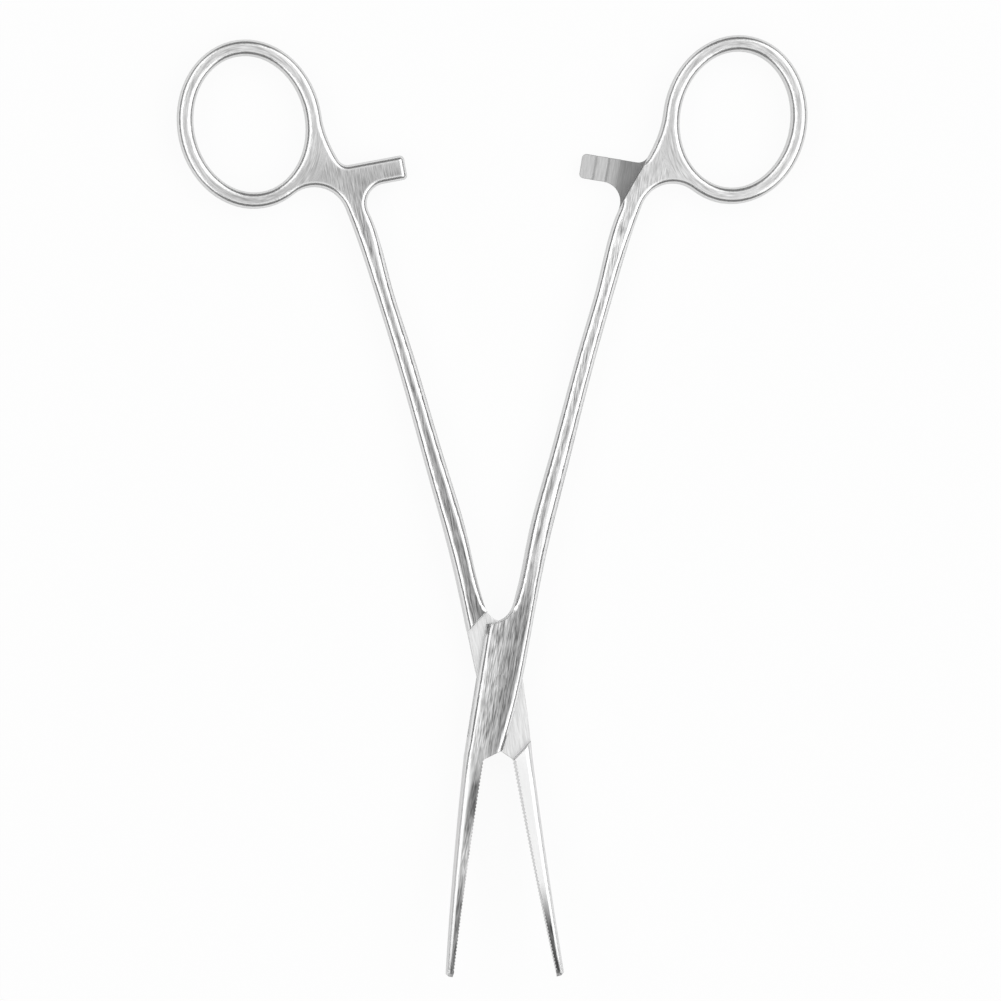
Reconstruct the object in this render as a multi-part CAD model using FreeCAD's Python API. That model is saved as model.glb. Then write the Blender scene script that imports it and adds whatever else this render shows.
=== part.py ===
"""Curved, ring-handled hemostat with a box lock, lying flat and part open.

Millimetres. +Z is up and along the pivot pin, +Y runs from the pivot to the handles.
The origin is on the pin axis, in the flat underside of the box lock.
Each half is drawn closed, beside the line x = 0, and then swung open about the pin.
Both are drawn with the handle at +x and the jaw at -x. The female half stays so.
The male half is mirrored, with its lock and its ratchet the other way up.
"""
import FreeCAD, Part
import math
import os

# Pose: each half stands this far from its closed place
HALF_OPENING_DEG = 10.0

# Box lock
BOX_THICKNESS = 6.0
BOX_HALF_WIDTH = 4.2
BOX_WAIST = 0.25            # each side is drawn in by this beside the pin
BOX_TOP_Y = 14.0            # the even thickness of the box ends here
PLATE_CORNER_Y = 9.9        # free corner of each plate, towards the handles
PLATE_FOOT_X = 2.6          # free corner of each plate, towards the jaws
PLATE_FOOT_Y = -12.5
CROTCH_Y = 13.05            # the halves part here, above the box
CROTCH_ROUND = 1.1
PLATE_END_SHARES = ((0.57, 0.32), (0.88, 0.7))  # in x and in y, from a plate's corner to the crotch
PLATE_ROOT_SHARES = (0.8, 0.47)     # the same from the crotch to the shank's root
RUN_OUT = (-0.25, 2.0)      # way in which the cut of a plate's end leaves the shank
FORK_Y = -14.9              # the halves part here, and the jaws start
TONGUE_THICKNESS = 2.0
SLOT_CLEARANCE = 0.06       # each side of the tongue
SEAM_CLEARANCE = 0.15       # between a shoulder and a plate end, closed
LOCK_BEVEL = 0.2            # on the outer edges of plate ends and shoulders
PIN_RADIUS = 1.15
PIN_CLEARANCE = 0.04

# Shanks
HANDLE_THICKNESS = 4.2
TAPER_END_Y = 60.0          # from here to the ring the thickness is even
SHANK_ROOT_Y = 16.0
SHANK_ROOT_X = 2.4
SHANK_TOP_Y = 88.0
SHANK_TOP_X = 9.3
SHANK_WIDTH = 3.8
SHANK_BOW = 0.62            # towards the middle line
SHANK_STATIONS = (          # share of the length, of the bow and of the width, from the box up
    (0.0, 0.0, 1.01), (0.17, 0.95, 1.01), (0.33, 0.95, 0.97), (0.5, 1.0, 0.9), (0.67, 0.9, 0.87),
    (0.83, 0.48, 0.86), (1.0, 0.0, 1.0))
EDGE_ROUND = 1.2

# Finger rings
RING_X = 26.45
RING_Y = 109.7
RING_HALF_WIDTH = 10.35     # of the opening
RING_HALF_LENGTH = 12.7
RING_STOCK = 3.0
WEB_ROUND = 6.2             # hollow between shank and ring, on the outer side
WEB_OUTER = (0.45, -11.7)   # point of the shank's outer edge, from the near side of the ring
WEB_INNER = ((-2.8, -12.9), (-0.65, -6.8))  # points of its inner edge, likewise
WEB_END = -1.0              # the inner edge joins the ring this far below its middle

# Ratchets
RATCHET_LOW_Y = 94.35
RATCHET_WIDTH = 4.55
RATCHET_REACH = 0.45        # past the line on which the halves close
RATCHET_GAP = 0.04          # of each row of crests from the middle plane
TOOTH_COUNT = 3
TOOTH_PITCH = 2.4
TOOTH_HEIGHT = 0.75
ARM_LOW_ROUND = 3.7         # hollow between arm and shank
ARM_HIGH_ROUND = 2.0        # hollow between arm and ring
ARM_END_ROUND = 0.8

# Jaws
JAW_SPAN = 40.1             # along y
JAW_RISE_DEG = 28.0         # slope at the tips
JAW_SHIFT = -0.45           # plane in which the jaws meet
JAW_ROOT_WIDTH = 3.4
JAW_TIP_WIDTH = 1.4
JAW_TIP_THICKNESS = 2.1
JAW_TIP_ROUND = 0.85
JAW_ROOT_GAP = 0.3          # of each face from the meeting plane, closed
JAW_TIP_GAP = 0.02
TIP_CHAMFER = 0.4
SERRATION_PITCH = 0.7
SERRATION_DEPTH = 0.2
SERRATION_LAND = 0.08       # flat crest between two grooves
FIRST_SERRATION = 0.6       # in pitches from the fork

MIDDLE = BOX_THICKNESS / 2
HANDLE_TOP = MIDDLE + HANDLE_THICKNESS / 2
HANDLE_BOTTOM = MIDDLE - HANDLE_THICKNESS / 2
JAW_RADIUS = JAW_SPAN / math.sin(math.radians(JAW_RISE_DEG))
RING_SIDE = RING_X - RING_HALF_WIDTH - RING_STOCK
RATCHET_HIGH_Y = RATCHET_LOW_Y + RATCHET_WIDTH
TALL = 40.0                 # longer than anything that a tool body has to cut
WIDE = 60.0
MARGIN = 5.0
TOLERANCE = 0.01
LEVEL = 0.7                 # upright share of the normal of a face that counts as level


def at(x, y, z=0.0):
    return FreeCAD.Vector(x, y, z)


def between(start, end, share):
    return start + (end - start) * share


def curve_through(points):
    curve = Part.BSplineCurve()
    curve.interpolate([at(*p) for p in points])
    return curve


def line(a, b):
    return Part.makeLine(at(*a), at(*b))


def raised(edges, height=TALL, bottom=0.0):
    """The solid over a closed outline."""
    face = Part.Face(Part.Wire(Part.__sortEdges__(edges)))
    solid = face.extrude(at(0, 0, height))
    solid.translate(at(0, 0, bottom))
    return solid


def polygon(points):
    return [line(a, b) for a, b in zip(points, points[1:] + points[:1])]


def distance(curve, x, y):
    foot = curve.value(curve.parameter(at(x, y)))
    return math.hypot(foot.x - x, foot.y - y)


def hollow_round(first, second, radius, start):
    """Centre of the circle of that radius which touches both curves, found from start."""
    x, y = start
    step = 1e-4
    for _ in range(30):
        a, b = distance(first, x, y) - radius, distance(second, x, y) - radius
        ax = (distance(first, x + step, y) - radius - a) / step
        ay = (distance(first, x, y + step) - radius - a) / step
        bx = (distance(second, x + step, y) - radius - b) / step
        by = (distance(second, x, y + step) - radius - b) / step
        scale = ax * by - ay * bx
        x -= (a * by - b * ay) / scale
        y -= (ax * b - bx * a) / scale
    return at(x, y)


def hollow_arc(first, second, radius, start):
    """The short arc of that circle between its touching points, and the two points."""
    centre = hollow_round(first, second, radius, start)
    begin = first.value(first.parameter(centre))
    end = second.value(second.parameter(centre))
    middle = centre + ((begin - centre) + (end - centre)).normalize() * radius
    return Part.Arc(begin, middle, end).toShape(), begin, end


# Outlines seen from above

def shank_edge(side):
    """Points of the outer edge (side 1) or the inner edge (side -1), from the box up."""
    points = []
    for share, bow, width in SHANK_STATIONS:
        x = between(SHANK_ROOT_X, SHANK_TOP_X, share) - bow * SHANK_BOW
        y = between(SHANK_ROOT_Y, SHANK_TOP_Y, share)
        points.append((x + side * width * SHANK_WIDTH / 2, y))
    return points


def ring_ellipse(margin):
    """The ring's opening, grown by margin."""
    top = at(RING_X, RING_Y + RING_HALF_LENGTH + margin)
    side = at(RING_X + RING_HALF_WIDTH + margin, RING_Y)
    return Part.Ellipse(top, side, at(RING_X, RING_Y))


def from_ring(x, y):
    """A point counted from the near side of the ring, at its middle."""
    return RING_SIDE + x, RING_Y + y


def outer_edge():
    box = [(PLATE_FOOT_X, PLATE_FOOT_Y), (BOX_HALF_WIDTH - BOX_WAIST, 0.0)]
    return curve_through(box + shank_edge(1) + [from_ring(*WEB_OUTER)])


def inner_edge():
    """From the box over the crotch and up the shank, then into the ring's inner side."""
    crotch = [(-BOX_HALF_WIDTH, CROTCH_Y - CROTCH_ROUND / 2), (-CROTCH_ROUND, CROTCH_Y),
              (0.0, CROTCH_Y + CROTCH_ROUND)]
    ring = ring_ellipse(RING_STOCK)
    end = ring.value(ring.parameter(at(*from_ring(0.0, WEB_END))))
    return curve_through(crotch + shank_edge(-1) + [from_ring(*p) for p in WEB_INNER] + [(end.x, end.y)])


def plate_end(sign=1):
    """The free end of a plate, from beyond its corner to where it runs into the shank."""
    corner, crotch = (-BOX_HALF_WIDTH, PLATE_CORNER_Y), (SEAM_CLEARANCE / 2, CROTCH_Y)
    root = shank_edge(-1)[0]

    def part_way(start, end, shares):
        return tuple(between(a, b, share) for a, b, share in zip(start, end, shares))

    first = part_way(corner, crotch, PLATE_END_SHARES[0])
    points = [part_way(corner, first, (-0.5, -0.5)), corner, first,
              part_way(corner, crotch, PLATE_END_SHARES[1]), crotch,
              part_way(crotch, root, PLATE_ROOT_SHARES), root]
    return curve_through([(sign * x, y) for x, y in points])


def arm_hollows(inner):
    """The lower and the upper hollow between arm and shank: arc, point on the arm, point on the shank."""
    found = []
    for y, radius, side in ((RATCHET_LOW_Y, ARM_LOW_ROUND, -1), (RATCHET_HIGH_Y, ARM_HIGH_ROUND, 1)):
        edge = Part.LineSegment(at(-WIDE, y), at(WIDE, y))
        found.append(hollow_arc(edge, inner, radius, (RING_SIDE / 2, y + side * radius)))
    return found


def arm_edge(inner):
    """The inner edge with the ratchet arm on it."""
    (low_arc, low_arm, low_shank), (high_arc, high_arm, high_shank) = arm_hollows(inner)
    tip, bend = -RATCHET_REACH, ARM_END_ROUND * (1 - math.sqrt(0.5))
    inset = ARM_END_ROUND
    edges = [inner.toShape(inner.FirstParameter, inner.parameter(low_shank)), low_arc,
             high_arc, inner.toShape(inner.parameter(high_shank), inner.LastParameter),
             line((tip, RATCHET_LOW_Y + inset), (tip, RATCHET_HIGH_Y - inset))]
    for y, side, start in ((RATCHET_LOW_Y, 1, low_arm), (RATCHET_HIGH_Y, -1, high_arm)):
        corner = at(tip + inset, y)
        edges.append(Part.makeLine(start, corner))
        edges.append(Part.Arc(corner, at(tip + bend, y + side * bend), at(tip, y + side * inset)).toShape())
    return edges


# Handle, web, ring and box as one block, without the jaw

def block_outline(meeting_x):
    outer, inner, ring = outer_edge(), inner_edge(), ring_ellipse(RING_STOCK)
    below_ring = (RING_X - RING_HALF_WIDTH, RING_Y - RING_HALF_LENGTH - WEB_ROUND)
    hollow, low, high = hollow_arc(outer, ring, WEB_ROUND, below_ring)
    corner, ring_start = inner.value(inner.FirstParameter), inner.value(inner.LastParameter)
    begin, end = ring.parameter(ring_start), ring.parameter(high)
    root_x = meeting_x - JAW_ROOT_GAP - JAW_ROOT_WIDTH
    side = curve_through([(corner.x, corner.y), (-BOX_HALF_WIDTH, 0.0), (root_x, FORK_Y)])
    fork = (meeting_x - JAW_ROOT_GAP, FORK_Y)
    return [outer.toShape(outer.FirstParameter, outer.parameter(low)), hollow,
            Part.ArcOfEllipse(ring, begin, end + 2 * math.pi).toShape(), *arm_edge(inner),
            side.toShape(), line((root_x, FORK_Y), fork), line(fork, (PLATE_FOOT_X, PLATE_FOOT_Y))]


def ease(start, end):
    """Two level-ended arcs in the yz plane that make a smooth step."""
    half_run, half_step = (end[0] - start[0]) / 2, (end[1] - start[1]) / 2
    radius = (half_run ** 2 + half_step ** 2) / (2 * abs(half_step))
    turn = math.atan2(half_run, radius - abs(half_step)) / 2
    run = radius * math.sin(turn)
    step = math.copysign(radius * (1 - math.cos(turn)), half_step)
    centre = (start[0] + half_run, start[1] + half_step)
    arcs = ((start, (start[0] + run, start[1] + step), centre),
            (centre, (end[0] - run, end[1] - step), end))
    return [Part.Arc(*[at(0, *p) for p in arc]).toShape() for arc in arcs]


def side_profile():
    """The block's thickness seen from the side: even at the box, thinner at the handle."""
    far = RING_Y + RING_HALF_LENGTH + RING_STOCK + MARGIN
    near = FORK_Y - MARGIN

    def run(a, b):
        return Part.makeLine(at(0, *a), at(0, *b))

    edges = [run((near, 0), (near, BOX_THICKNESS)), run((far, HANDLE_BOTTOM), (far, HANDLE_TOP))]
    for box_z, handle_z in ((0, HANDLE_BOTTOM), (BOX_THICKNESS, HANDLE_TOP)):
        edges += [run((near, box_z), (BOX_TOP_Y, box_z)), run((TAPER_END_Y, handle_z), (far, handle_z))]
        edges += ease((BOX_TOP_Y, box_z), (TAPER_END_Y, handle_z))
    solid = Part.Face(Part.Wire(Part.__sortEdges__(edges))).extrude(at(2 * WIDE, 0, 0))
    solid.translate(at(-WIDE, 0, 0))
    return solid


def rim_edges(solid):
    """Edges between the upper or lower faces and the upright walls, apart from the jaw's end."""
    rims = []
    for edge in solid.Edges:
        middle = edge.valueAt((edge.FirstParameter + edge.LastParameter) / 2)
        level = []
        for face in solid.Faces:
            if any(other.isSame(edge) for other in face.Edges):
                level.append(abs(face.normalAt(*face.Surface.parameter(middle)).z) > LEVEL)
        straight = edge.Curve.TypeId == "Part::GeomLine"
        if sorted(level) == [False, True] and not (straight and middle.y < 0):
            rims.append(edge)
    return rims


def block(meeting_x):
    """The whole forging as one thick plate, before its ratchet is added and its lock is cut."""
    solid = raised(block_outline(meeting_x)).cut(raised([ring_ellipse(0.0).toShape()]))
    solid = solid.common(side_profile()).Solids[0]
    solid = solid.makeFillet(EDGE_ROUND, rim_edges(solid))
    seat = [face for face in solid.Faces if face.BoundBox.YLength < TOLERANCE and face.CenterOfMass.x < 0]
    solid = solid.fuse(jaw(meeting_x, seat[0].OuterWire)).removeSplitter()
    end = plate_end()
    corner = end.value(end.FirstParameter)
    top = end.value(end.LastParameter)
    points = [(top.x, top.y), (top.x + RUN_OUT[0], top.y + RUN_OUT[1]),
              (corner.x, top.y + RUN_OUT[1]), (corner.x, corner.y)]
    waste = [end.toShape()] + [line(a, b) for a, b in zip(points, points[1:])]
    return solid.cut(raised(waste))


# Jaw

def jaw_place(share):
    """Point of the jaw's middle line, and its tangent and upward normal, share 0 to 1."""
    slope = math.radians(JAW_RISE_DEG) * share
    point = at(0, FORK_Y - JAW_RADIUS * math.sin(slope), MIDDLE + JAW_RADIUS * (1 - math.cos(slope)))
    return point, at(0, -math.cos(slope), math.sin(slope)), at(0, math.sin(slope), math.cos(slope))


def jaw_section(meeting_x, share):
    """Flat inner face, and outer corners that grow rounder towards the tip."""
    point, _, up = jaw_place(share)
    inner = meeting_x - between(JAW_ROOT_GAP, JAW_TIP_GAP, share)
    outer = inner - between(JAW_ROOT_WIDTH, JAW_TIP_WIDTH, share)
    half = between(BOX_THICKNESS, JAW_TIP_THICKNESS, share) / 2
    radius = between(EDGE_ROUND, JAW_TIP_ROUND, share)

    def place(x, height):
        return at(x, 0, 0) + point + up * height

    edges = [Part.makeLine(place(inner, -half), place(inner, half))]
    bend = radius * (1 - math.sqrt(0.5))
    for sign in (1, -1):
        edges.append(Part.makeLine(place(inner, sign * half), place(outer + radius, sign * half)))
        edges.append(Part.Arc(place(outer + radius, sign * half), place(outer + bend, sign * (half - bend)),
                              place(outer, sign * (half - radius))).toShape())
    edges.append(Part.makeLine(place(outer, half - radius), place(outer, radius - half)))
    return Part.Wire(Part.__sortEdges__(edges))


def serrations(meeting_x):
    """A comb of V grooves across the inner face, square to the jaw's middle line."""
    turn = math.degrees(SERRATION_PITCH / JAW_RADIUS)
    count = int(JAW_RISE_DEG / turn)
    mouth = (SERRATION_PITCH - SERRATION_LAND) / 2
    lift = SERRATION_DEPTH / 2
    wide = mouth * (1 + lift / SERRATION_DEPTH)
    grooves = []
    for number in range(count):
        share = (number + FIRST_SERRATION) * turn / JAW_RISE_DEG
        point, along, up = jaw_place(share)
        face_x = meeting_x - between(JAW_ROOT_GAP, JAW_TIP_GAP, share)
        base = at(face_x, 0, 0) + point - up * BOX_THICKNESS
        corners = [base + along * wide + at(lift, 0, 0), base - along * wide + at(lift, 0, 0),
                   base - at(SERRATION_DEPTH, 0, 0)]
        grooves.append(Part.Face(Part.makePolygon(corners + corners[:1])).extrude(up * 2 * BOX_THICKNESS))
    return grooves


def jaw(meeting_x, root_wire):
    """From the block's end face to a blunt tip."""
    sections = [jaw_section(meeting_x, number / 4) for number in range(1, 5)]
    solid = Part.makeLoft([root_wire] + sections, True, False)
    tip, _, _ = jaw_place(1)
    near, inner = tip.y + JAW_TIP_THICKNESS / 2, meeting_x - JAW_TIP_GAP - TOLERANCE
    rim = [edge for edge in solid.Edges if edge.BoundBox.YMax < near and edge.BoundBox.XMin < inner]
    solid = solid.makeChamfer(TIP_CHAMFER, rim)
    return solid.cut(Part.makeCompound(serrations(meeting_x)))


# Ratchet

def tooth_profile():
    """Sawtooth in the xz plane: each tooth climbs from the tip side and drops sheer."""
    crest, valley = MIDDLE - RATCHET_GAP, MIDDLE - RATCHET_GAP - TOOTH_HEIGHT
    points = [(-RATCHET_REACH, HANDLE_BOTTOM)]
    for number in range(TOOTH_COUNT):
        drop_x = -RATCHET_REACH + TOOTH_PITCH * (number + 1)
        points += [(drop_x - TOOTH_PITCH, valley), (drop_x, crest)]
    points += [(-RATCHET_REACH + TOOTH_PITCH * TOOTH_COUNT, valley), (RING_X, valley),
               (RING_X, HANDLE_BOTTOM)]
    corners = [at(x, 0, z) for x, z in points]
    return Part.Face(Part.makePolygon(corners + corners[:1])).extrude(at(0, 4 * WIDE, 0))


def ratchet_recess():
    """What is cut from the thick arm, back to the shank's edge, so that its toothed half is left."""
    inner = inner_edge()
    (_, _, low), (_, _, high) = arm_hollows(inner)
    far = -RATCHET_REACH - MARGIN
    corners = [(high.x, high.y), (far, high.y), (far, low.y), (low.x, low.y)]
    outline = [line(a, b) for a, b in zip(corners, corners[1:])]
    outline.append(inner.toShape(inner.parameter(low), inner.parameter(high)))
    return raised(outline).cut(tooth_profile())


def flipped(shape):
    """The same, with top and bottom exchanged."""
    return shape.mirror(at(0, 0, MIDDLE), at(0, 0, 1))


# Lock

def seam(corner, crotch, clearance):
    """Two far points of the line through corner and crotch, moved off by a clearance."""
    slope = (crotch[1] - corner[1]) / (crotch[0] - corner[0])
    lift = clearance * math.hypot(1, slope)
    return [(x, corner[1] + lift + slope * (x - corner[0])) for x in (-WIDE / 2, WIDE / 2)]


def slot_outline():
    """The way through the female box in which the tongue turns."""
    end = plate_end(-1)
    end.translate(at(0, SEAM_CLEARANCE))
    corner, top = end.value(end.FirstParameter), end.value(end.LastParameter)
    fork = (JAW_SHIFT + JAW_ROOT_GAP, FORK_Y)
    lower = seam((-PLATE_FOOT_X, PLATE_FOOT_Y), fork, -SEAM_CLEARANCE)[:1]
    floor = fork[1] - SEAM_CLEARANCE * 2
    points = [(top.x, top.y), (-WIDE, top.y), lower[0], (fork[0], floor), (WIDE, floor),
              (WIDE, corner.y), (corner.x, corner.y)]
    return [line(a, b) for a, b in zip(points, points[1:])] + [end.toShape()]


def shoulders():
    """The upper and the lower line across the male half, between which it is thinned to the tongue."""
    fork = (-JAW_SHIFT + JAW_ROOT_GAP, FORK_Y)
    return (seam((BOX_HALF_WIDTH, PLATE_CORNER_Y), (0.0, CROTCH_Y - SEAM_CLEARANCE), SEAM_CLEARANCE),
            seam((-PLATE_FOOT_X, PLATE_FOOT_Y), fork, -SEAM_CLEARANCE))


def tongue_outline():
    upper, lower = shoulders()
    return polygon([upper[0], lower[0], lower[1], upper[1]])


def wedge(edge, out, level, inward):
    """Takes the corner off along an edge at that level. The metal is along out, and above if inward is 1."""
    sides = []
    for run, dip in ((-1, -1), (2, -1), (-1, 2)):
        copy = edge.copy()
        copy.translate(at(0, 0, level) + (out * run + at(0, 0, inward) * dip) * LOCK_BEVEL)
        sides.append(copy)
    faces = [Part.makeRuledSurface(a, b) for a, b in zip(sides, sides[1:] + sides[:1])]
    for end in (0, -1):
        corners = [side.Vertexes[end].Point for side in sides]
        faces.append(Part.Face(Part.makePolygon(corners + corners[:1])))
    return Part.Solid(Part.Shell(faces))


def bevels(edge, out):
    """The wedges at the top and at the bottom."""
    return Part.makeCompound([wedge(edge, out, BOX_THICKNESS, -1), wedge(edge, out, 0.0, 1)])


def pin(radius):
    return Part.makeCylinder(radius, BOX_THICKNESS)


# The three pieces

def female_half():
    solid = block(JAW_SHIFT).cut(ratchet_recess())
    chord = at(BOX_HALF_WIDTH, CROTCH_Y - PLATE_CORNER_Y).normalize()
    solid = solid.cut(bevels(plate_end().toShape(), at(chord.y, -chord.x)))
    half_slot = TONGUE_THICKNESS / 2 + SLOT_CLEARANCE
    solid = solid.cut(raised(slot_outline(), 2 * half_slot, MIDDLE - half_slot))
    return solid.cut(pin(PIN_RADIUS))


def male_half():
    solid = block(-JAW_SHIFT).cut(flipped(ratchet_recess()))
    for bottom in (MIDDLE + TONGUE_THICKNESS / 2, MIDDLE - TONGUE_THICKNESS / 2 - TALL):
        solid = solid.cut(raised(tongue_outline(), TALL, bottom))
    for (start, end), side in zip(shoulders(), (1, -1)):
        along = (at(*end) - at(*start)).normalize()
        solid = solid.cut(bevels(line(start, end), at(-along.y, along.x) * side))
    return solid.cut(pin(PIN_RADIUS + PIN_CLEARANCE)).mirror(at(0, 0, 0), at(1, 0, 0))


def swung(solid, degrees):
    turned = solid.copy()
    turned.rotate(at(0, 0, 0), at(0, 0, 1), degrees)
    return turned


def main():
    os.makedirs("parts", exist_ok=True)
    pieces = {
        "female_half": swung(female_half(), -HALF_OPENING_DEG),
        "male_half": swung(male_half(), HALF_OPENING_DEG),
        "pivot_pin": pin(PIN_RADIUS),
    }
    for name, shape in pieces.items():
        solids = shape.Solids
        print(name, len(solids), "solid", shape.isValid(), round(shape.Volume, 1), "mm3")
        solids[0].exportStep(f"parts/{name}.step")


main()
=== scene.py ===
"""Studio scene for the hemostat: camera, floor, soft boxes and the steel's finish.

Metres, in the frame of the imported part: +Z up, +Y from the pin to the handles.
"""
import math
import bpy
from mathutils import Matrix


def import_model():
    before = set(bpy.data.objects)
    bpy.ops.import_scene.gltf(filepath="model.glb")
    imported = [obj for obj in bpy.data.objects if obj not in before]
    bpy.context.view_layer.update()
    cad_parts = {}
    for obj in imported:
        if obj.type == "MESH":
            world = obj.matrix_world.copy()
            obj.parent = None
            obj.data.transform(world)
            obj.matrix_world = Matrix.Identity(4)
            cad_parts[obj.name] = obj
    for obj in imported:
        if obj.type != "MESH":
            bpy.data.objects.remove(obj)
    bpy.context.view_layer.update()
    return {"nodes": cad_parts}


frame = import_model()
from types import SimpleNamespace
import bpy
from mathutils import Matrix, Vector

MM = 0.001
scene = bpy.context.scene
scene.view_settings.view_transform = "Standard"

# Camera
PICTURE_SIDE = 1001             # pixels
PIXELS_PER_MM = 5.4             # in the plane of the box lock
PIN_PIXEL = (499.0, 680.0)      # across and down
ROLL_DEG = 0.7                  # the handles lean this far to the left of upright
YAW_DEG = 4.5                   # the camera stands this far to the left of overhead
CAMERA_DISTANCE = 2.0
CAMERA_REACH = 10.0
PLANE_Z = 3.0 * MM
SENSOR = 36.0                   # millimetres

# Light. Each soft box: azimuth from +X towards +Y and angle from overhead of its middle, then its
# size across and along that meridian, and its radiance.
LIGHT_DISTANCE = 2.6
SOFT_BOXES = {
    "top": (0, 0, 5.0, 1.9, 0.78),
    "right": (5, 43, 5.0, 2.1, 1.4),
    "left": (175, 42, 5.0, 1.7, 1.25),
}
WORLD_GREY = 0.18
FLOOR_GREY = 0.9
FLOOR_SIDE = 6.0
BACKGROUND_GLOW = 0.92          # share of the floor's white that the object's shadow can't darken

# Finish of each node: its lean in degrees, the side of its handle, where its jaw's polish and its
# jaw's ground wedge start, and how light its ground steel is beside the tones below.
FINISH = {
    "female_half": (-10.0, 1, -12 * MM, -12 * MM, 1.12),
    "male_half": (10.0, -1, -6 * MM, -38 * MM, 0.76),
    "pivot_pin": (0.0, 1, -12 * MM, -12 * MM, 1.0),
}

# Tones: ground steel, then the low faces of lock and ratchet, then walls and polished steel; painted
# light and shade among them is named beside each
PLATE_TONE = 0.35
# painted reflection: the ground steel lightens from the plate to the shank's end and the web
SHANK_END_TONE = 0.62
WEB_TONE = 0.64
TONGUE_TONE = 0.78
TEETH_TONE = 0.5
# painted shade in the ratchet's recess, at the teeth's root
TEETH_ROOT_SHADE = 0.27
# painted shade: walls darker than the polished steel above them, beside their real satin roughness
WALL_SHADE_TONE = 0.56
POLISHED_TONE = 0.88
RING_TONE = 0.84
JAW_TONE = 0.96

# Factors on those of the ground steel, some of them painted light and shade
PLATE_PAINTED_SHADES = (1.5, 0.8)       # painted light at the left of the plate, painted shade at its right
RING_SHADE = 0.95
JAW_SHADES = (0.55, 1.3)        # painted shade and painted highlight stretches on a jaw
STREAKS = (0.3, 1.7)            # the grain's darkest and lightest
RING_STREAKS = (0.65, 1.35)
LOW_FACE_STREAKS = (0.86, 1.14)

POLISHED_ROUGHNESS = 0.18
RING_ROUGHNESS = 0.25
JAW_ROUGHNESS = 0.38
WALL_ROUGHNESS = 0.3
GROUND_ROUGHNESS = 0.36

# Shares of the ground finish given the polished tone: on a shank, painted sheen of the light from the
# right; on a jaw, what polishing took off
SHANK_PAINTED_SHEEN = 0.85
JAW_WHEEL = 0.9

# Spans along a half, in its own frame, over which its finish changes
SHANK_START = (14 * MM, 34 * MM)
SHANK_END = (90 * MM, 78 * MM)
RING_START = (85 * MM, 97 * MM)
JAW_LENGTH = 8 * MM             # over which the jaw's finish sets in
JAW_RISE = (-12 * MM, -20 * MM)             # where the jaw starts to rise
# stretches of painted highlight along a jaw and at its tip
JAW_LIGHT_START = (-24 * MM, -31 * MM)
JAW_LIGHT_END = (-42 * MM, -36 * MM)
JAW_TIP = (-54 * MM, -54.8 * MM)
LOCK_FOOT = (-17 * MM, -15.5 * MM)
CROWN_FOOT = (-18 * MM, -12 * MM)
CROWN_TOP = (88 * MM, 82 * MM)
PAINTED_REFLECTION_RISE = (12 * MM, 95 * MM)
WEB_START = (95 * MM, 102 * MM)
LOCK_TO_TEETH = (50 * MM, 90 * MM)
MIDDLE_RUN = (10 * MM, 88 * MM)
MIDDLE_OFFSETS = (0.6 * MM, 9.3 * MM)       # of the shank's middle line, at the ends of that run

# Spans across a half and in height
PLATE_PAINTED_SHADE_SPAN = (-2.6 * MM, 0.8 * MM)
SHANK_PAINTED_SHEEN_SPAN = (0.05 * MM, 0.55 * MM)
JAW_MIDDLE = 2.4 * MM           # from the pin to the middle of the jaw, away from the handle's side
JAW_WEDGE_SPAN = (-0.3 * MM, 0.3 * MM)
# painted shade darkens toward the teeth's root over this span
TEETH_ROOT_SHADE_SPAN = (4.2 * MM, 7.5 * MM)
LOW_FACES_TOP = (4.3 * MM, 4.1 * MM)
LOW_FACES_BOTTOM = (1.7 * MM, 1.9 * MM)

# Spans of a normal's upright part, and of its lean squared
LOW_FACE_UPRIGHT = (0.9, 0.95)
# over this span painted shade on the walls gives way to the polished tone
WALL_TO_TOP_TONE = (0.2, 0.75)
WALL_TO_TOP_ROUGHNESS = (0.2, 0.6)
LEVEL_LEAN = (0.1, 0.003)

# Rings, in a half's own frame
RING_CENTRE = (26.45 * MM, 109.7 * MM)
RING_OPENING = (10.35 * MM, 12.7 * MM)      # half its width and half its length
RING_REACH = (1.4, 1.3)                     # outer edge of the stock, in openings

# Grain: its frequency across, along and through a half, per metre, and the noise that makes it
GRAIN_SCALE = (5200, 330, 400)
GRAIN_DETAIL = 2.0
GRAIN_ROUGHNESS = 0.6
GRAIN_SPAN = (0.3, 0.7)
GRAIN_HEIGHT = 0.02 * MM
GRAIN_STRENGTH = 0.3

PLATE_CROWN = 50.0              # curvature across, per metre
SHANK_CROWN = 260.0
EDGE_SOFTNESS = 0.2 * MM
EDGE_SAMPLES = 6
PIN_POLISH = (1.6 * MM, 2.1 * MM)           # round the pin, where plate and pin are ground as one


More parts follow.
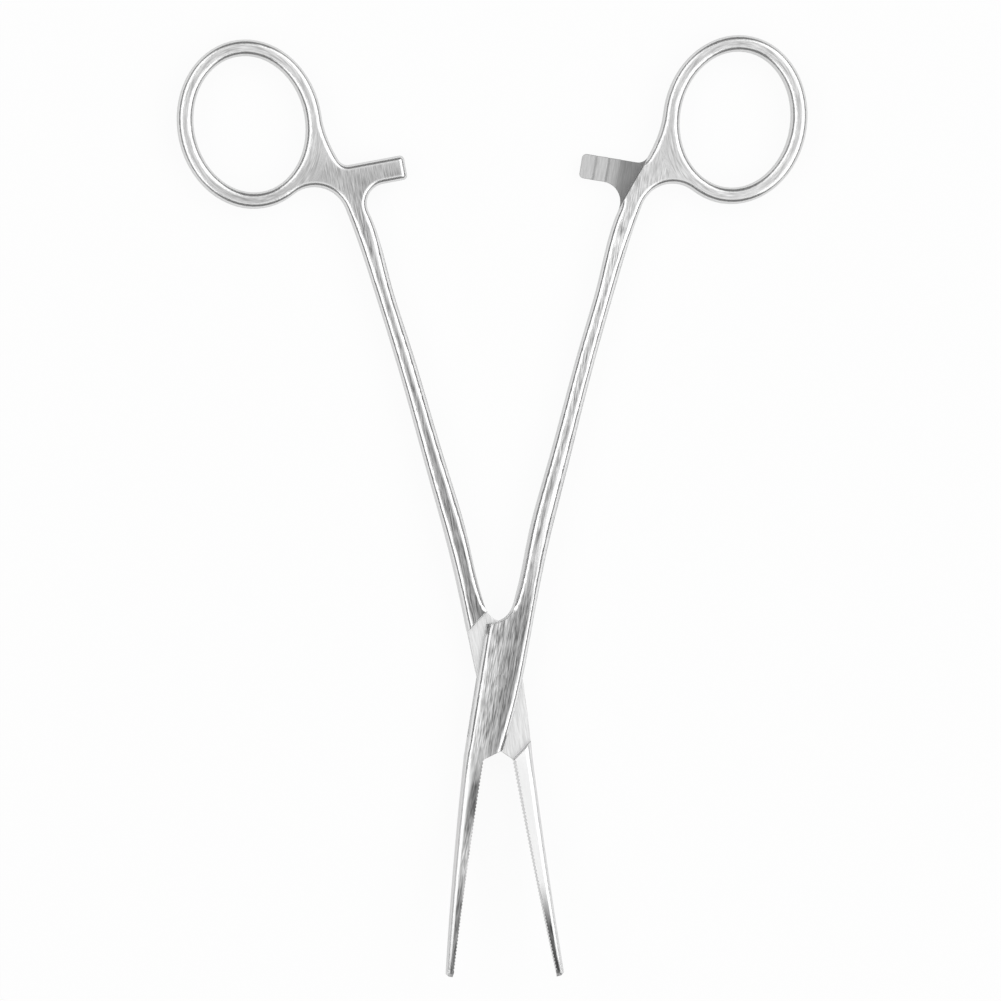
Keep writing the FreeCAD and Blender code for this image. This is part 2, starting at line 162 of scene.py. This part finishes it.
class Nodes:
    """Adds nodes to one new material."""

    def __init__(self, name):
        self.material = bpy.data.materials.new(name)
        self.material.use_nodes = True
        self.tree = self.material.node_tree
        self.tree.nodes.clear()

    def add(self, kind, inputs=None, **settings):
        """A node of that kind. Each input is a number, a colour or another node's socket."""
        made = self.tree.nodes.new("ShaderNode" + kind)
        for key, value in settings.items():
            setattr(made, key, value)
        for key, value in (inputs or {}).items():
            if isinstance(value, bpy.types.NodeSocket):
                self.tree.links.new(value, made.inputs[key])
            else:
                made.inputs[key].default_value = value
        return made

    def maths(self, operation, *values):
        return self.add("Math", dict(enumerate(values)), operation=operation).outputs[0]

    def product(self, first, *others):
        for other in others:
            first = self.maths("MULTIPLY", first, other)
        return first

    def squares(self, first, second):
        """The sum of both squares."""
        return self.maths("MULTIPLY_ADD", first, first, self.product(second, second))

    def ramp(self, source, span, values):
        """Runs from one value to the other while source runs over the span."""
        inputs = {"Value": source, "From Min": span[0], "From Max": span[1],
                  "To Min": values[0], "To Max": values[1]}
        return self.add("MapRange", inputs).outputs[0]

    def share(self, source, span):
        """0 at the start of the span and 1 at its end."""
        return self.ramp(source, span, (0.0, 1.0))

    def blend(self, share, first, second):
        """The first where share is 0, the second where it is 1."""
        return self.ramp(share, (0.0, 1.0), (first, second))

    def without(self, share):
        return self.maths("SUBTRACT", 1.0, share)

    def own_frame(self, source, lean_deg):
        """The three parts of a vector, in the frame of the half as if it weren't swung."""
        turned = self.add("Mapping", {"Vector": source})
        turned.inputs["Rotation"].default_value[2] = math.radians(-lean_deg)
        return self.add("SeparateXYZ", {0: turned.outputs[0]}).outputs

    def end(self, shader):
        self.add("OutputMaterial", {"Surface": shader.outputs[0]})
        return self.material


# Steel

def survey(nodes, lean_deg, side, jaw_y):
    """Where a point lies on the half, how its face stands, and which stretch it belongs to."""
    place = nodes.add("TexCoord")
    at = SimpleNamespace(side=side)
    at.x, at.y, at.z = nodes.own_frame(place.outputs["Object"], lean_deg)
    at.across, at.along, upward = nodes.own_frame(place.outputs["Normal"], lean_deg)
    at.upright = nodes.maths("ABSOLUTE", upward)
    at.in_ring = nodes.share(at.y, RING_START)
    at.in_shank = nodes.product(nodes.share(at.y, SHANK_START), nodes.share(at.y, SHANK_END))
    at.in_jaw = nodes.share(at.y, (jaw_y, jaw_y - JAW_LENGTH))
    middle = nodes.ramp(at.y, MIDDLE_RUN, MIDDLE_OFFSETS)
    at.off_middle = nodes.maths("SUBTRACT", at.x, nodes.product(middle, side))
    at.low_face = low_faces(nodes, at)
    return at


def low_faces(nodes, at):
    """The tongue's faces and the ratchet's teeth, which lie deeper than the rest."""
    deep = nodes.product(nodes.share(at.z, LOW_FACES_TOP), nodes.share(at.z, LOW_FACES_BOTTOM),
                         nodes.share(at.y, LOCK_FOOT))
    return nodes.share(nodes.product(deep, at.upright), LOW_FACE_UPRIGHT)


def ground_share(nodes, at, wedge_y):
    """Where the steel is ground: the level faces, less a painted sheen and what polishing took off.

    Right of the middle of a shank the polished tone is painted sheen of the light from the right;
    polishing went over a jaw but for the wedge inside. The jaws rise to their tips, so there only a
    lean to the side counts as not level.
    """
    counted = nodes.without(nodes.share(at.y, JAW_RISE))
    lengthwise = nodes.product(at.along, at.along, counted)
    lean = nodes.maths("MULTIPLY_ADD", at.across, at.across, lengthwise)
    level = nodes.share(lean, LEVEL_LEAN)
    # painted sheen: right of a shank's middle the ground finish gives way to the polished tone
    polish_and_sheen = nodes.product(at.in_shank, nodes.ramp(at.off_middle, SHANK_PAINTED_SHEEN_SPAN, (0.0, SHANK_PAINTED_SHEEN)))
    level = nodes.product(level, nodes.without(polish_and_sheen))
    inward = nodes.maths("MULTIPLY_ADD", at.x, at.side, JAW_MIDDLE)
    wedge = nodes.product(nodes.share(at.y, (wedge_y, wedge_y - JAW_LENGTH)),
                          nodes.share(inward, JAW_WEDGE_SPAN))
    polish_and_sheen = nodes.product(at.in_jaw, nodes.blend(wedge, JAW_WHEEL, 0.0))
    level = nodes.product(level, nodes.without(polish_and_sheen))
    return nodes.maths("MAXIMUM", level, at.low_face)


def grain(nodes, at):
    """Fine streaks along the half, and along the stock round a ring."""
    half_width, half_length = RING_OPENING
    ring_x, ring_y = RING_CENTRE
    sideways = nodes.maths("DIVIDE", nodes.maths("SUBTRACT", at.x, ring_x * at.side), half_width)
    forwards = nodes.maths("DIVIDE", nodes.maths("SUBTRACT", at.y, ring_y), half_length)
    reach = nodes.maths("SQRT", nodes.squares(sideways, forwards))
    on_ring = nodes.share(reach, RING_REACH)
    straight = [nodes.product(part, scale) for part, scale in zip((at.x, at.y, at.z), GRAIN_SCALE)]
    round_ring = [nodes.product(reach, GRAIN_SCALE[0] * half_width)]
    for part in (sideways, forwards):
        round_ring.append(nodes.product(nodes.maths("DIVIDE", part, reach), GRAIN_SCALE[1] * half_length))
    laid = nodes.add("CombineXYZ", {
        axis: nodes.blend(on_ring, *pair) for axis, pair in enumerate(zip(straight, round_ring))})
    noise = nodes.add("TexNoise", {"Vector": laid.outputs[0], "Scale": 1.0,
                                   "Detail": GRAIN_DETAIL, "Roughness": GRAIN_ROUGHNESS})
    return noise.outputs["Fac"]


def ground_tone(nodes, at, streak, lightness):
    """Painted light at the left of the plate and painted shade at its right, painted shade on the wedges
    of the jaws with painted highlights along them, lighter to the rings as painted reflection, and
    painted shade at the teeth's root.
    """
    # painted light and shade across the plate
    shade = nodes.ramp(at.off_middle, PLATE_PAINTED_SHADE_SPAN, PLATE_PAINTED_SHADES)
    shade = nodes.blend(at.in_ring, nodes.blend(at.in_shank, shade, 1.0), RING_SHADE)
    # painted highlight along the middle of a jaw and at its tip
    light = nodes.product(nodes.share(at.y, JAW_LIGHT_START), nodes.share(at.y, JAW_LIGHT_END))
    light = nodes.maths("MAXIMUM", light, nodes.share(at.y, JAW_TIP))
    shade = nodes.blend(at.in_jaw, shade, nodes.blend(light, *JAW_SHADES))
    # painted reflection: lighter from the plate toward the rings
    tone = nodes.ramp(at.y, PAINTED_REFLECTION_RISE, (PLATE_TONE * lightness, SHANK_END_TONE * lightness))
    tone = nodes.ramp(at.y, WEB_START, (tone, WEB_TONE))
    limits = [nodes.blend(at.in_ring, *pair) for pair in zip(STREAKS, RING_STREAKS)]
    tone = nodes.product(tone, shade, nodes.ramp(streak, GRAIN_SPAN, limits))

    low_tone = nodes.ramp(at.y, LOCK_TO_TEETH, (TONGUE_TONE, TEETH_TONE))
    outward = nodes.product(at.x, at.side)
    # painted shade, darker toward the root of the teeth
    low_tone = nodes.ramp(outward, TEETH_ROOT_SHADE_SPAN, (low_tone, TEETH_ROOT_SHADE))
    low_tone = nodes.product(low_tone, nodes.ramp(streak, GRAIN_SPAN, LOW_FACE_STREAKS))
    return nodes.blend(at.low_face, tone, low_tone)


def polished_finish(nodes, at):
    """Reflectance and roughness of the round edges, and of the walls below them, whose darker tone is
    painted shade.
    """
    tone = nodes.blend(at.in_ring, POLISHED_TONE, RING_TONE)
    tone = nodes.blend(at.in_jaw, tone, JAW_TONE)
    rough = nodes.blend(at.in_ring, POLISHED_ROUGHNESS, RING_ROUGHNESS)
    rough = nodes.blend(at.in_jaw, rough, JAW_ROUGHNESS)
    # painted shade: the more upright a face, the nearer its tone to the walls' darker one
    return (nodes.ramp(at.upright, WALL_TO_TOP_TONE, (WALL_SHADE_TONE, tone)),
            nodes.ramp(at.upright, WALL_TO_TOP_ROUGHNESS, (WALL_ROUGHNESS, rough)))


def relief(nodes, at, streak):
    """Soft edges, the grain, and the crown that grinding leaves, on a shank only right of its middle."""
    crown = nodes.blend(at.in_shank, PLATE_CROWN, SHANK_CROWN)
    crown = nodes.product(crown, nodes.share(at.y, CROWN_TOP), nodes.share(at.y, CROWN_FOOT),
                          nodes.without(at.low_face))
    off = nodes.blend(at.in_shank, at.off_middle, nodes.maths("MAXIMUM", at.off_middle, 0.0))
    from_pin = nodes.maths("SQRT", nodes.squares(at.x, at.y))
    softness = nodes.ramp(from_pin, PIN_POLISH, (0.0, EDGE_SOFTNESS))
    edge = nodes.add("Bevel", {"Radius": softness}, samples=EDGE_SAMPLES)
    crowned = nodes.add("Bump", {"Strength": 1.0, "Distance": 1.0, "Normal": edge.outputs[0],
                                 "Height": nodes.product(off, off, crown, -0.5)})
    grained = nodes.add("Bump", {"Strength": GRAIN_STRENGTH, "Distance": GRAIN_HEIGHT,
                                 "Height": streak, "Normal": crowned.outputs[0]})
    return grained.outputs[0]


def steel(name, lean_deg, side, jaw_y, wedge_y, lightness):
    """Polished edges, satin walls darkened by painted shade, and level faces ground lengthwise, with
    painted light and shade in their tones.

    lean_deg is how far the half is swung, and side is 1 where its handle is to the right.
    """
    nodes = Nodes(name)
    at = survey(nodes, lean_deg, side, jaw_y)
    ground = ground_share(nodes, at, wedge_y)
    streak = grain(nodes, at)
    polished, rough = polished_finish(nodes, at)
    tone = nodes.blend(ground, polished, ground_tone(nodes, at, streak, lightness))
    colour = nodes.add("CombineColor", {channel: tone for channel in ("Red", "Green", "Blue")})
    return nodes.end(nodes.add("BsdfPrincipled", {
        "Metallic": 1.0,
        "Base Color": colour.outputs[0],
        "Roughness": nodes.blend(ground, rough, GROUND_ROUGHNESS),
        "Normal": relief(nodes, at, streak),
    }))


for name, piece in frame["nodes"].items():
    piece.data.materials.clear()
    piece.data.materials.append(steel(name, *FINISH[name]))


# Camera

def place_camera():
    roll = math.radians(ROLL_DEG)
    right = Vector((math.cos(roll), -math.sin(roll), 0))
    up = Vector((math.sin(roll), math.cos(roll), 0))
    half = (PICTURE_SIDE - 1) / 2
    across = (half - PIN_PIXEL[0]) / PIXELS_PER_MM * MM
    above = (PIN_PIXEL[1] - half) / PIXELS_PER_MM * MM
    aim = right * across + up * above + Vector((0, 0, PLANE_Z))
    yaw = math.radians(YAW_DEG)
    back = Vector((0, 0, 1)) * math.cos(yaw) - right * math.sin(yaw)
    data = bpy.data.cameras.new("camera")
    camera = bpy.data.objects.new("camera", data)
    scene.collection.objects.link(camera)
    turn = Matrix((up.cross(back).normalized(), up, back)).transposed().to_4x4()
    camera.matrix_world = Matrix.Translation(aim + back * CAMERA_DISTANCE) @ turn
    data.sensor_width = SENSOR
    data.lens = PIXELS_PER_MM / MM * SENSOR * CAMERA_DISTANCE / PICTURE_SIDE
    data.clip_end = CAMERA_REACH
    scene.camera = camera


place_camera()


# Floor

def floor():
    """White to the camera and to reflections, but for a share that the object's shadow darkens."""
    nodes = Nodes("floor")
    paper = nodes.add("BsdfDiffuse", {"Color": (FLOOR_GREY, FLOOR_GREY, FLOOR_GREY, 1)})
    white = nodes.add("Emission", {"Strength": 1.0})
    path = nodes.add("LightPath")
    glow = 0.0
    for kind in ("Is Camera Ray", "Is Glossy Ray", "Is Transmission Ray"):
        glow = nodes.maths("MULTIPLY_ADD", path.outputs[kind], BACKGROUND_GLOW, glow)
    bpy.ops.mesh.primitive_plane_add(size=FLOOR_SIDE, location=(0, 0, 0))
    plane = bpy.context.object
    plane.name = "floor"
    plane.data.materials.append(nodes.end(
        nodes.add("MixShader", {0: glow, 1: paper.outputs[0], 2: white.outputs[0]})))


floor()


# Light

def soft_box(name, azimuth, polar, width, height, radiance):
    data = bpy.data.lights.new(name, "AREA")
    data.shape = "RECTANGLE"
    data.size, data.size_y = width, height
    data.energy = radiance * math.pi * width * height
    lamp = bpy.data.objects.new(name, data)
    lamp.visible_camera = False
    scene.collection.objects.link(lamp)
    turn, tilt = math.radians(azimuth), math.radians(polar)
    back = Vector((math.sin(tilt) * math.cos(turn), math.sin(tilt) * math.sin(turn), math.cos(tilt)))
    across = Vector((-math.sin(turn), math.cos(turn), 0))
    lamp.matrix_world = (Matrix.Translation(back * LIGHT_DISTANCE)
                         @ Matrix((across, back.cross(across), back)).transposed().to_4x4())


def world():
    made = bpy.data.worlds.new("studio")
    made.use_nodes = True
    grey = made.node_tree.nodes["Background"]
    grey.inputs["Color"].default_value = (WORLD_GREY, WORLD_GREY, WORLD_GREY, 1)
    scene.world = made


for name, values in SOFT_BOXES.items():
    soft_box(name, *values)
world()
